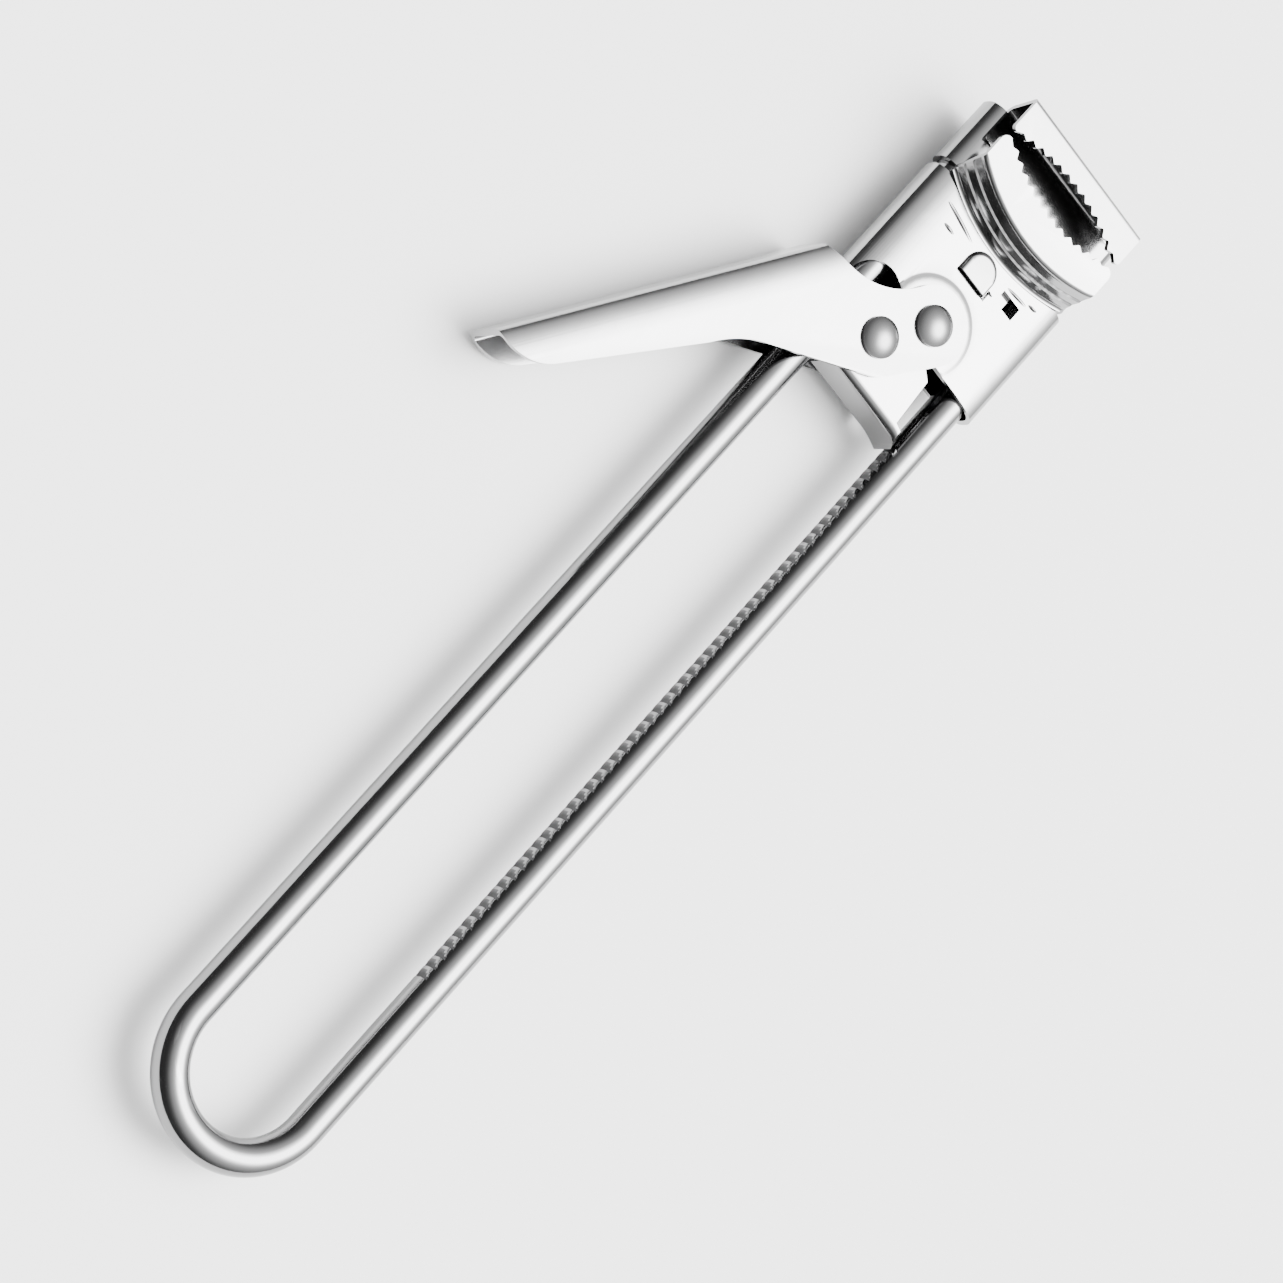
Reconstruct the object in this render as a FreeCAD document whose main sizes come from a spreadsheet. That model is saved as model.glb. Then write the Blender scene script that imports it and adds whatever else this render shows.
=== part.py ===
import FreeCAD, Part
import math
import os

import Sketcher

# Adjustable jar opener in stainless steel. Drawn with +X along the rod's legs towards the jaws, +Y towards the
# lever and +Z out of the toothed plates. The drawing's zero is the centre of the rod's bend, on the rod's axis;
# every sub-part is then moved so that the finished tool's origin is the middle of the bottom of its box.

DRIVING_DIMENSIONS = {
    # U rod
    "rod_radius": 3.0,
    "leg_half_spacing": 13.3,
    "leg_end_x": 198.4,
    "tooth_first_x": 29.4,
    "tooth_pitch": 2.125,
    "tooth_count": 56,
    "tooth_depth": 0.75,
    "tooth_ramp": 1.55,
    # sheet thicknesses
    "jaw_sheet": 0.9,
    "lever_sheet": 1.1,
    "pawl_sheet": 1.0,
    # fixed jaw
    "fixed_low_x": 186.2,
    "fixed_high_x": 199.4,
    "fixed_wrap_half": 17.22,
    "fixed_wrap_radius": 3.92,
    "jaw_half_width": 14.9,
    "jaw_top_z": 10.0,
    "wall_foot_x": 200.8,
    "wall_top_x": 201.8,
    "fold_radius": 1.9,
    "fixed_plate_low_x": 194.8,
    "fixed_arc_radius": 37.0,
    "fixed_arc_apex_x": 197.9,
    # sliding jaw
    "slide_arc_radius": 31.0,
    "slide_arc_apex_x": 189.85,
    "slide_plate_high_x": 193.4,
    "slide_half_width": 15.3,
    "slide_wall_radius": 36.0,
    "slide_wall_lean": 1.9,
    "slide_wall_half_angle": 27.5,
    "tongue_low_x": 167.6,
    "tongue_half_width": 7.7,
    "tongue_drop": 0.1,
    "bite_depth": 0.72,
    "bite_half_width": 0.95,
    "bite_pitch": 2.2,
    "bite_count": 13,
    # slider sleeve
    "sleeve_low_x": 160.4,
    "sleeve_high_x": 184.4,
    "sleeve_half": 17.6,
    "sleeve_radius": 4.1,
    "sleeve_shift_y": -0.25,
    "sleeve_seam": 0.3,
    "panel_apex_x": 180.95,
    "notch_radius": 5.0,
    "notch_x": 160.2,
    "notch_y": 11.3,
    "tab_low_x": 174.75,
    "tab_radius": 3.3,
    "tab_straight": 2.55,
    "tab_rise": 0.75,
    "tab_slot": 0.3,
    "window_low_x": 176.3,
    "window_high_x": 178.9,
    "window_near_y": 5.5,
    "window_far_y": 9.8,
    "pad_radius": 7.1,
    "pad_foot_radius": 8.7,
    "pad_height": 0.35,
    # lever and its two rivets
    "pivot_x": 164.0,
    "pivot_y": 0.3,
    "lever_half_depth": 5.6,
    "lever_web_y": 17.0,
    "lever_bend": 2.0,
    "ear_radius": 6.6,
    "link_x": -10.5,
    "link_y": 0.5,
    "link_boss_radius": 6.3,
    "shank_radius": 2.0,
    "head_radius": 3.4,
    "head_rim": 0.5,
    "head_dome": 1.15,
    "running_gap": 0.05,
    # pawl, in its own place about the link rivet
    "pawl_half_depth": 4.2,
    "pawl_web_x": -7.95,
    "pawl_tip_y": -16.05,
    "pawl_ear_radius": 4.3,
    # spacer and spring
    "spacer_radius": 2.7,
    "spring_radius": 3.2,
    "wire_radius": 0.35,
    "spring_height": 5.2,
    "spring_turns": 4.25,
    "lever_leg": 12.5,
    "jaw_leg": 8.0,
}

LEVER_OPEN_DEGREES = 29.7


class Dim:
    """A length together with the spreadsheet expression that gives it."""

    def __init__(self, value, text):
        self.value = value
        self.text = text

    def joined(self, other, sign, value):
        return Dim(value, "(" + self.text + " " + sign + " " + other.text + ")")

    def __add__(self, other):
        other = as_dim(other)
        return self.joined(other, "+", self.value + other.value)

    def __sub__(self, other):
        other = as_dim(other)
        return self.joined(other, "-", self.value - other.value)

    def __mul__(self, other):
        other = as_dim(other)
        return self.joined(other, "*", self.value * other.value)

    def __neg__(self):
        return self * -1


def as_dim(number):
    """A plain number as a Dim; a Dim stays as it is."""
    if isinstance(number, Dim):
        return number
    return Dim(float(number), "%.6g" % number)


document = FreeCAD.newDocument("JarOpener")
sheet = document.addObject("Spreadsheet::Sheet", "Sizes")
dims = {}
for row, (alias, size) in enumerate(DRIVING_DIMENSIONS.items(), start=1):
    sheet.set("A%d" % row, alias)
    sheet.set("B%d" % row, "%g" % size)
    sheet.setAlias("B%d" % row, alias)
    dims[alias] = Dim(float(size), "Sizes." + alias)
document.recompute()

ZERO = as_dim(0)


# ---------------------------------------------------------------- sketch helpers


def new_body(label):
    body = document.addObject("PartDesign::Body", label)
    body.Label = label
    return body


def new_sketch(body, role, name, at=(ZERO, ZERO, ZERO), turn=0.0):
    """A sketch on one of the body's own origin planes, shifted by `at` in the plane's own directions."""
    plane = [item for item in body.Origin.OriginFeatures if item.Role == role][0]
    sketch = body.newObject("Sketcher::SketchObject", name)
    sketch.AttachmentSupport = (plane, [""])
    sketch.MapMode = "FlatFace"
    shift = FreeCAD.Vector(at[0].value, at[1].value, at[2].value)
    sketch.AttachmentOffset = FreeCAD.Placement(shift, FreeCAD.Rotation(FreeCAD.Vector(0, 0, 1), turn))
    for direction, distance in zip("xyz", at):
        if distance is not ZERO:
            sketch.setExpression("AttachmentOffset.Base." + direction, distance.text)
    return sketch


def tie(sketch, constraint, dim):
    """Add a constraint and bind its value to the sheet."""
    index = sketch.addConstraint(constraint)
    sketch.setExpression("Constraints[%d]" % index, dim.text)


def tie_point(sketch, geometry, position, x, y):
    tie(sketch, Sketcher.Constraint("DistanceX", -1, 1, geometry, position, x.value), x)
    tie(sketch, Sketcher.Constraint("DistanceY", -1, 1, geometry, position, y.value), y)


def draw_circle(sketch, x, y, radius):
    centre = FreeCAD.Vector(x.value, y.value, 0)
    index = sketch.addGeometry(Part.Circle(centre, FreeCAD.Vector(0, 0, 1), radius.value))
    tie_point(sketch, index, 3, x, y)
    tie(sketch, Sketcher.Constraint("Radius", index, radius.value), radius)


def arc_between(start, end, radius, side):
    """The shorter arc from start to end, with its centre on the left or the right of the way there."""
    half = (end - start) * 0.5
    across = FreeCAD.Vector(-half.y, half.x, 0).normalize()
    if side == "right":
        across = across * -1
    rise = math.sqrt(radius * radius - half.Length * half.Length)
    centre = start + half + across * rise
    first, last = (start, end) if side == "left" else (end, start)
    angles = [math.atan2(point.y - centre.y, point.x - centre.x) for point in (first, last)]
    circle = Part.Circle(centre, FreeCAD.Vector(0, 0, 1), radius)
    return Part.ArcOfCircle(circle, angles[0], angles[1])


def draw_outline(sketch, steps):
    """Draw a closed outline and tie each corner to the sheet.

    A step is (x, y) for a straight edge to that corner, or (x, y, radius, side) for an arc to it.
    """
    steps = [tuple(as_dim(part) if not isinstance(part, str) else part for part in step) for step in steps]
    first = sketch.GeometryCount
    ends = []
    for number, step in enumerate(steps):
        before = steps[number - 1]
        start = FreeCAD.Vector(before[0].value, before[1].value, 0)
        end = FreeCAD.Vector(step[0].value, step[1].value, 0)
        if len(step) == 2:
            sketch.addGeometry(Part.LineSegment(start, end))
            ends.append((1, 2))
        else:
            sketch.addGeometry(arc_between(start, end, step[2].value, step[3]))
            ends.append((1, 2) if step[3] == "left" else (2, 1))
    for number, step in enumerate(steps):
        index = first + number
        following = (number + 1) % len(steps)
        finish = ends[number][1]
        joint = Sketcher.Constraint("Coincident", index, finish, first + following, ends[following][0])
        sketch.addConstraint(joint)
        tie_point(sketch, index, finish, step[0], step[1])
        if len(step) > 2:
            tie(sketch, Sketcher.Constraint("Radius", index, step[2].value), step[2])


def draw_flat_tube(sketch, middle, half_width, radius):
    """A flattened round: two straight sides and quarter arcs, in a plane whose first direction is Y."""
    low = middle - half_width
    high = middle + half_width
    steps = [
        (high - radius, -radius),
        (high, ZERO, radius, "left"),
        (high - radius, radius, radius, "left"),
        (low + radius, radius),
        (low, ZERO, radius, "left"),
        (low + radius, -radius, radius, "left"),
    ]
    draw_outline(sketch, steps)


# ---------------------------------------------------------------- feature helpers


def set_length(feature, name, length):
    feature.setExpression(name, as_dim(length).text)


def pad(body, sketch, name, length, symmetric=False, backwards=False):
    feature = body.newObject("PartDesign::Pad", name)
    feature.Profile = sketch
    set_length(feature, "Length", length)
    if symmetric:
        feature.SideType = "Symmetric"
    feature.Reversed = backwards
    document.recompute()
    return feature


def pocket(body, sketch, name, length, symmetric=False, backwards=False):
    """Cut a pocket and make sure that it took something away."""
    before = body.Shape.Volume
    feature = body.newObject("PartDesign::Pocket", name)
    feature.Profile = sketch
    set_length(feature, "Length", length)
    if symmetric:
        feature.SideType = "Symmetric"
    feature.Reversed = backwards
    document.recompute()
    if not body.Shape.Volume < before - 0.01:
        raise RuntimeError(name + " cut nothing")
    return feature


def revolve(body, sketch, name, degrees, symmetric=False):
    """Turn a sketch about its own vertical axis."""
    feature = body.newObject("PartDesign::Revolution", name)
    feature.Profile = sketch
    feature.ReferenceAxis = (sketch, ["V_Axis"])
    set_length(feature, "Angle", degrees)
    feature.Midplane = symmetric
    document.recompute()
    return feature


def linear_pattern(body, feature, name, count, pitch):
    axis = [item for item in body.Origin.OriginFeatures if item.Role == "X_Axis"][0]
    pattern = body.newObject("PartDesign::LinearPattern", name)
    pattern.Originals = [feature]
    pattern.Direction = (axis, [""])
    pattern.setExpression("Occurrences", count.text)
    set_length(pattern, "Length", (count - 1) * pitch)
    body.Tip = pattern
    document.recompute()
    return pattern


def polar_pattern(body, feature, sketch, name, count, degrees):
    pattern = body.newObject("PartDesign::PolarPattern", name)
    pattern.Originals = [feature]
    pattern.Axis = (sketch, ["N_Axis"])
    pattern.setExpression("Occurrences", count.text)
    pattern.Angle = degrees
    body.Tip = pattern
    document.recompute()
    return pattern


def edges_where(shape, test):
    """Names of the edges whose ends and middle all meet a test."""
    names = []
    for number, edge in enumerate(shape.Edges, start=1):
        first, last = edge.ParameterRange
        points = [edge.valueAt(first + (last - first) * part) for part in (0.0, 0.5, 1.0)]
        if all(test(point) for point in points):
            names.append("Edge%d" % number)
    return names


def fillet(body, name, radius, test):
    base = body.Tip
    feature = body.newObject("PartDesign::Fillet", name)
    feature.Base = (base, edges_where(base.Shape, test))
    set_length(feature, "Radius", radius)
    document.recompute()
    return feature


def near(value, wanted):
    return abs(value - wanted) < 0.01


def placed(x=0.0, y=0.0, degrees=0.0):
    rotation = FreeCAD.Rotation(FreeCAD.Vector(0, 0, 1), degrees)
    return FreeCAD.Placement(FreeCAD.Vector(x, y, 0), rotation)


# ---------------------------------------------------------------- the rod


def make_u_rod():
    body = new_body("u_rod")
    radius = dims["rod_radius"]
    half = dims["leg_half_spacing"]

    legs = new_sketch(body, "YZ_Plane", "leg_sections")
    draw_circle(legs, half, ZERO, radius)
    draw_circle(legs, -half, ZERO, radius)
    pad(body, legs, "legs", dims["leg_end_x"])

    bend = new_sketch(body, "YZ_Plane", "bend_section")
    draw_circle(bend, half, ZERO, radius)
    revolve(body, bend, "bend", 180)

    # Ratchet teeth on the inner side of the right leg: a steep face towards the jaws, a ramp towards the bend.
    tooth = new_sketch(body, "XY_Plane", "tooth_gap")
    surface = radius - half
    start = dims["tooth_first_x"]
    ramp_end = start + dims["tooth_ramp"]
    draw_outline(tooth, [
        (start, surface + 1),
        (start, surface - dims["tooth_depth"]),
        (ramp_end, surface),
        (ramp_end, surface + 1),
    ])
    gap = pocket(body, tooth, "tooth_cut", radius * 3, symmetric=True)
    linear_pattern(body, gap, "teeth", dims["tooth_count"], dims["tooth_pitch"])
    return body


# ---------------------------------------------------------------- toothed plates


def cut_bites(body, centre_x, radius, direction, gap_height):
    """Cut a plate's edge to an arc and notch it: direction is +1 where the arc bulges to +X, else -1."""
    count = dims["bite_count"]
    top = dims["jaw_top_z"] + 0.5
    tip_radius = radius - dims["bite_depth"]

    mouth = new_sketch(body, "XY_Plane", "mouth", at=(centre_x, ZERO, top))
    draw_circle(mouth, ZERO, ZERO, tip_radius)
    pocket(body, mouth, "mouth_cut", gap_height)

    pitch_degrees = math.degrees(dims["bite_pitch"].value / radius.value)
    spread = (count.value - 1) * pitch_degrees
    bite = new_sketch(body, "XY_Plane", "bite", at=(centre_x, ZERO, top), turn=-spread / 2)
    half = dims["bite_half_width"]
    reach = radius * direction
    inside = (tip_radius - 0.5) * direction
    draw_outline(bite, [
        (inside, half * 1.3),
        (reach, half * 0.12),
        (reach, half * -0.12),
        (inside, half * -1.3),
    ])
    cut = pocket(body, bite, "bite_cut", gap_height)
    polar_pattern(body, cut, bite, "bites", count, spread)


# ---------------------------------------------------------------- the fixed jaw


def make_fixed_jaw():
    body = new_body("fixed_jaw")
    sheet_size = dims["jaw_sheet"]
    low = dims["fixed_low_x"]
    half = dims["fixed_wrap_half"]
    outer = dims["fixed_wrap_radius"]

    # The sheet wrapped round both rod ends.
    wrap = new_sketch(body, "YZ_Plane", "wrap_section", at=(ZERO, ZERO, low))
    draw_flat_tube(wrap, ZERO, half, outer)
    draw_flat_tube(wrap, ZERO, half - sheet_size, outer - sheet_size)
    pad(body, wrap, "wrap", dims["fixed_high_x"] - low)

    # The wall and the plate, drawn in a plane whose directions are X and Z.
    floor_top = outer
    floor_low = outer - sheet_size
    foot = dims["wall_foot_x"]
    head = dims["wall_top_x"]
    top = dims["jaw_top_z"]
    bend = dims["fold_radius"]
    inner_bend = bend - sheet_size
    plate_low = dims["fixed_plate_low_x"]
    profile = new_sketch(body, "XZ_Plane", "wall_profile")
    draw_outline(profile, [
        (foot - bend - 6, floor_low),
        (foot - bend, floor_low),
        (foot, floor_low + bend, bend, "left"),
        (head, top - 0.5),
        (head - 0.5, top, 0.5, "left"),
        (plate_low, top),
        (plate_low, top - sheet_size),
        (head - sheet_size, top - sheet_size),
        (foot - sheet_size, floor_low + bend),
        (foot - bend, floor_top, inner_bend, "right"),
        (foot - bend - 6, floor_top),
    ])
    pad(body, profile, "wall_and_plate", dims["jaw_half_width"] * 2, symmetric=True)

    # The seam where the wrapped sheet meets behind.
    seam = new_sketch(body, "XY_Plane", "seam", at=(ZERO, ZERO, ZERO))
    slit = dims["sleeve_seam"] * 0.5
    end = dims["fixed_high_x"] + 1
    draw_outline(seam, [(low - 1, -slit), (end, -slit), (end, slit), (low - 1, slit)])
    pocket(body, seam, "seam_cut", outer + 1)

    half_width = dims["jaw_half_width"].value
    fillet(body, "plate_corners", 0.8, lambda p: near(p.x, plate_low.value) and near(abs(p.y), half_width))
    centre = dims["fixed_arc_apex_x"] - dims["fixed_arc_radius"]
    cut_bites(body, centre, dims["fixed_arc_radius"], 1, as_dim(2.5))
    return body


# ---------------------------------------------------------------- the sliding head


def make_slider_sleeve():
    body = new_body("slider_sleeve")
    sheet_size = dims["jaw_sheet"]
    low = dims["sleeve_low_x"]
    high = dims["sleeve_high_x"]
    outer = dims["sleeve_radius"]
    middle = dims["sleeve_shift_y"]
    pivot = (dims["pivot_x"], dims["pivot_y"])

    tube = new_sketch(body, "YZ_Plane", "tube_section", at=(ZERO, ZERO, low))
    draw_flat_tube(tube, middle, dims["sleeve_half"], outer)
    draw_flat_tube(tube, middle, dims["sleeve_half"] - sheet_size, outer - sheet_size)
    pad(body, tube, "tube", high - low)

    # Bearing pads that the lever's ears turn on, front and back.
    pads = new_sketch(body, "XZ_Plane", "pad_profile", at=(pivot[0], ZERO, -pivot[1]))
    inside = outer - 0.4
    crown = outer + dims["pad_height"]
    draw_outline(pads, [
        (ZERO, inside),
        (dims["pad_foot_radius"], inside),
        (dims["pad_foot_radius"], outer),
        (dims["pad_radius"], crown),
        (ZERO, crown),
    ])
    draw_outline(pads, [
        (ZERO, -crown),
        (dims["pad_radius"], -crown),
        (dims["pad_foot_radius"], -outer),
        (dims["pad_foot_radius"], -inside),
        (ZERO, -inside),
    ])
    revolve(body, pads, "pads", 360)
    square = new_sketch(body, "XY_Plane", "lower_edge")
    draw_outline(square, [(low - 9, -outer * 4), (low, -outer * 4), (low, outer * 4), (low - 9, outer * 4)])
    pocket(body, square, "lower_edge_cut", outer * 4, symmetric=True)

    # The front panel's upper edge follows the foot of the sliding jaw's wall.
    edge = new_sketch(body, "XY_Plane", "front_edge", at=(ZERO, ZERO, outer + 1))
    radius = dims["slide_wall_radius"]
    centre = dims["panel_apex_x"] + radius
    draw_circle(edge, centre, ZERO, radius)
    pocket(body, edge, "front_edge_cut", outer + 0.4)

    # Round notch in the front panel's lower left corner.
    notch = new_sketch(body, "XY_Plane", "corner_notch", at=(ZERO, ZERO, outer + 1))
    draw_circle(notch, dims["notch_x"], dims["notch_y"], dims["notch_radius"])
    pocket(body, notch, "corner_notch_cut", as_dim(4))

    # Lanced tab: the panel is sheared along the tab's straight edge and pressed up behind it like half a dish.
    tab = new_sketch(body, "XY_Plane", "tab_outline", at=(ZERO, ZERO, outer - 0.3))
    tab_low = dims["tab_low_x"]
    tab_radius = dims["tab_radius"]
    rise = dims["tab_rise"]
    dish_x = tab_low + dims["tab_straight"]
    draw_outline(tab, [
        (tab_low, -tab_radius),
        (dish_x, -tab_radius),
        (dish_x + tab_radius, ZERO, tab_radius, "left"),
        (dish_x, tab_radius, tab_radius, "left"),
        (tab_low, tab_radius),
    ])
    pad(body, tab, "tab", rise + 0.3)
    slope = new_sketch(body, "XZ_Plane", "tab_slope")
    tab_end = dish_x + tab_radius
    draw_outline(slope, [
        (tab_low + 1.8, outer + rise),
        (tab_end + 0.1, outer + 0.1),
        (tab_end + 0.1, outer + rise + 1),
        (tab_low + 1.8, outer + rise + 1),
    ])
    pocket(body, slope, "tab_slope_cut", tab_radius * 2.4, symmetric=True)
    under = new_sketch(body, "XZ_Plane", "tab_underside")
    panel_low = outer - sheet_size
    draw_outline(under, [
        (tab_low - 0.1, panel_low - 0.2),
        (tab_end - 1.6, panel_low - 0.2),
        (tab_low + 1.8, panel_low + rise - 0.1),
        (tab_low - 0.1, panel_low + rise - 0.1),
    ])
    pocket(body, under, "tab_underside_cut", tab_radius * 1.4, symmetric=True)
    slot = new_sketch(body, "XY_Plane", "tab_slot", at=(ZERO, ZERO, outer + 2))
    slot_low = tab_low - dims["tab_slot"]
    draw_outline(slot, [
        (slot_low, -tab_radius - 0.6),
        (tab_low + 1.85, -tab_radius - 0.6),
        (tab_low + 1.85, -tab_radius - 0.15),
        (tab_low, -tab_radius - 0.15),
        (tab_low, tab_radius + 0.1),
        (slot_low, tab_radius + 0.1),
    ])
    pocket(body, slot, "tab_slot_cut", sheet_size + 2.2)

    window = new_sketch(body, "XY_Plane", "window", at=(ZERO, ZERO, outer + 1))
    near_y = -dims["window_near_y"]
    far_y = -dims["window_far_y"]
    draw_outline(window, [
        (dims["window_low_x"], far_y),
        (dims["window_high_x"], far_y),
        (dims["window_high_x"], near_y),
        (dims["window_low_x"], near_y),
    ])
    pocket(body, window, "window_cut", as_dim(2.2))

    # The tube's seam, along the middle of its back.
    seam = new_sketch(body, "XY_Plane", "seam")
    slit = dims["sleeve_seam"] * 0.5
    draw_outline(seam, [
        (low - 1, middle - slit),
        (pivot[0] - 11, middle - slit),
        (pivot[0] - 11, middle + slit),
        (low - 1, middle + slit),
    ])
    draw_outline(seam, [
        (pivot[0] + 9, middle - slit),
        (high + 1, middle - slit),
        (high + 1, middle + slit),
        (pivot[0] + 9, middle + slit),
    ])
    pocket(body, seam, "seam_cut", outer + 1)

    hole = new_sketch(body, "XY_Plane", "pivot_hole")
    draw_circle(hole, pivot[0], pivot[1], dims["shank_radius"])
    pocket(body, hole, "pivot_hole_cut", outer * 3, symmetric=True)
    return body


def make_sliding_jaw():
    body = new_body("sliding_jaw")
    sheet_size = dims["jaw_sheet"]
    top = dims["jaw_top_z"]
    floor_top = dims["sleeve_radius"]
    floor_low = floor_top - sheet_size
    radius = dims["slide_wall_radius"] - 0.12
    lean = dims["slide_wall_lean"]
    centre = dims["panel_apex_x"] + dims["slide_wall_radius"]
    half = dims["slide_half_width"]

    # The curved wall, turned about an upright line in front of the jaws. Distances along X are from that line.
    # Two small ledges in its face stiffen it.
    wall = new_sketch(body, "XZ_Plane", "wall_profile", at=(centre, ZERO, ZERO))
    bend = as_dim(0.7)
    foot = bend - radius
    head = foot + lean
    draw_outline(wall, [
        (-radius, floor_low),
        (foot + sheet_size, floor_top + bend, bend + sheet_size, "left"),
        (head + sheet_size, top - sheet_size - 0.1),
        (head + sheet_size + 0.1, top - sheet_size),
        (head + 2.4, top - sheet_size),
        (head + 2.4, top),
        (head + 1.0, top),
        (head, top - 1.0, 1.0, "left"),
        (foot + 1.45, 7.7),
        (foot + 1.1, 7.55),
        (foot + 0.75, 6.0),
        (foot + 0.4, 5.85),
        (foot, floor_top + bend),
        (foot - bend, floor_top, bend, "right"),
    ])
    revolve(body, wall, "wall", dims["slide_wall_half_angle"] * 2, symmetric=True)

    # The toothed plate.
    plate = new_sketch(body, "XY_Plane", "plate_outline", at=(ZERO, ZERO, top - sheet_size))
    rear_radius = radius - bend - lean - 1.0
    rear_apex = centre - rear_radius
    high = dims["slide_plate_high_x"]
    rear_drop = rear_radius.value - math.sqrt(rear_radius.value ** 2 - half.value ** 2)
    corner = rear_apex + rear_drop
    draw_outline(plate, [
        (high, -half),
        (high, half),
        (corner, half),
        (rear_apex, ZERO, rear_radius, "left"),
        (corner, -half, rear_radius, "left"),
    ])
    pad(body, plate, "plate", sheet_size)

    # The tongue under the sleeve's panel.
    tongue_top = floor_low - dims["tongue_drop"]
    tongue_low = tongue_top - sheet_size
    tongue = new_sketch(body, "XY_Plane", "tongue_outline", at=(ZERO, ZERO, tongue_low))
    width = dims["tongue_half_width"]
    start = dims["tongue_low_x"]
    end = dims["panel_apex_x"] + 1.0
    draw_outline(tongue, [(start, -width), (end, -width), (end, width), (start, width)])
    pad(body, tongue, "tongue", sheet_size)
    step = new_sketch(body, "XY_Plane", "step_outline", at=(ZERO, ZERO, tongue_low))
    root = dims["panel_apex_x"] + 1.0
    draw_outline(step, [(end - 0.4, -width), (root + 0.4, -width), (root + 0.4, width), (end - 0.4, width)])
    pad(body, step, "step", floor_low - tongue_low + 0.4)

    # Trim the curved wall's ends square, in line with the plate's sides.
    trim = new_sketch(body, "XY_Plane", "trim", at=(ZERO, ZERO, top + 1))
    for side in (1, -1):
        inner = half * side
        outer = (half + 6) * side
        draw_outline(trim, [(corner - 9, inner), (high, inner), (high, outer), (corner - 9, outer)])
    pocket(body, trim, "trim_cut", top + 1)

    fillet(body, "plate_corners", 1.4, lambda p: near(p.x, high.value) and near(abs(p.y), half.value))
    bite_centre = dims["slide_arc_apex_x"] + dims["slide_arc_radius"]
    cut_bites(body, bite_centre, dims["slide_arc_radius"], -1, as_dim(2.5))
    return body


# ---------------------------------------------------------------- the lever


def make_lever():
    """The lever is drawn closed, parallel to the rod, about its pivot; its placement opens it."""
    body = new_body("lever")
    web = dims["lever_web_y"]
    half_depth = dims["lever_half_depth"]
    sheet_size = dims["lever_sheet"]
    ear = dims["ear_radius"]
    boss = dims["link_boss_radius"]
    link = (dims["link_x"], dims["link_y"])

    side = new_sketch(body, "XY_Plane", "side_outline")
    draw_outline(side, [
        (-16.1, web),
        (-77.3, web),
        (-68.9, 9.65, 9.5, "left"),
        (-41.5, 6.75),
        (-32.3, 4.8, 22.0, "right"),
        (link[0] - 2.95, link[1] - 5.57),
        (link[0] - 0.15, link[1] - boss, boss, "left"),
        (-0.3, -ear),
        (ear, ZERO, ear, "left"),
        (-0.34, 6.59, ear, "left"),
        (-14.03, 14.1, 14.9, "right"),
    ])
    pad(body, side, "plates", half_depth * 2, symmetric=True)
    fillet(body, "web_bends", dims["lever_bend"], lambda p: near(p.y, web.value) and near(abs(p.z), half_depth.value))

    hollow = new_sketch(body, "XY_Plane", "hollow")
    inner = web - sheet_size
    draw_outline(hollow, [(-90, inner), (-90, -20), (20, -20), (20, inner)])
    pocket(body, hollow, "hollow_cut", (half_depth - sheet_size) * 2, symmetric=True)

    holes = new_sketch(body, "XY_Plane", "rivet_holes")
    draw_circle(holes, ZERO, ZERO, dims["shank_radius"] + dims["running_gap"])
    draw_circle(holes, link[0], link[1], dims["shank_radius"])
    pocket(body, holes, "rivet_holes_cut", half_depth * 3, symmetric=True)
    return body


# ---------------------------------------------------------------- the pawl


def make_pawl():
    """The pawl is drawn as it stands at rest, about the link rivet."""
    body = new_body("pawl")
    web = dims["pawl_web_x"]
    tip = dims["pawl_tip_y"]
    half_depth = dims["pawl_half_depth"]
    sheet_size = dims["pawl_sheet"]
    ear = dims["pawl_ear_radius"]

    side = new_sketch(body, "XY_Plane", "side_outline")
    draw_outline(side, [
        (web, tip + 4.5),
        (web - 0.75, tip, 13.0, "right"),
        (web + 0.85, tip),
        (web + 1.75, tip + 3.35),
        (2.6, -12.0),
        (4.2, -9.6),
        (ear - 0.3, -1.6),
        (ear, ZERO, ear, "left"),
        (ZERO, ear, ear, "left"),
        (web + 1.0, 3.4),
        (web, 2.4),
    ])
    pad(body, side, "plates", half_depth * 2, symmetric=True)
    fillet(
        body, "web_bends", 1.5,
        lambda p: near(p.x, web.value) and near(abs(p.z), half_depth.value),
    )

    hollow = new_sketch(body, "XY_Plane", "hollow")
    inner = web + sheet_size
    draw_outline(hollow, [
        (inner, 8),
        (inner, tip + 4.5),
        (inner - 0.6, tip - 1),
        (8, tip - 1),
        (8, 8),
    ])
    pocket(body, hollow, "hollow_cut", (half_depth - sheet_size) * 2, symmetric=True)

    # The front corner of the tip is nipped off.
    nip = new_sketch(body, "YZ_Plane", "tip_nip")
    draw_outline(nip, [
        (tip - 1, 0.6),
        (tip + 2.3, half_depth + 0.6),
        (tip - 1, half_depth + 0.6),
    ])
    pocket(body, nip, "tip_nip_cut", as_dim(40), symmetric=True)

    hole = new_sketch(body, "XY_Plane", "link_hole")
    draw_circle(hole, ZERO, ZERO, dims["shank_radius"] + dims["running_gap"])
    pocket(body, hole, "link_hole_cut", half_depth * 3, symmetric=True)
    return body


# ---------------------------------------------------------------- rivets, spacer and spring


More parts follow.
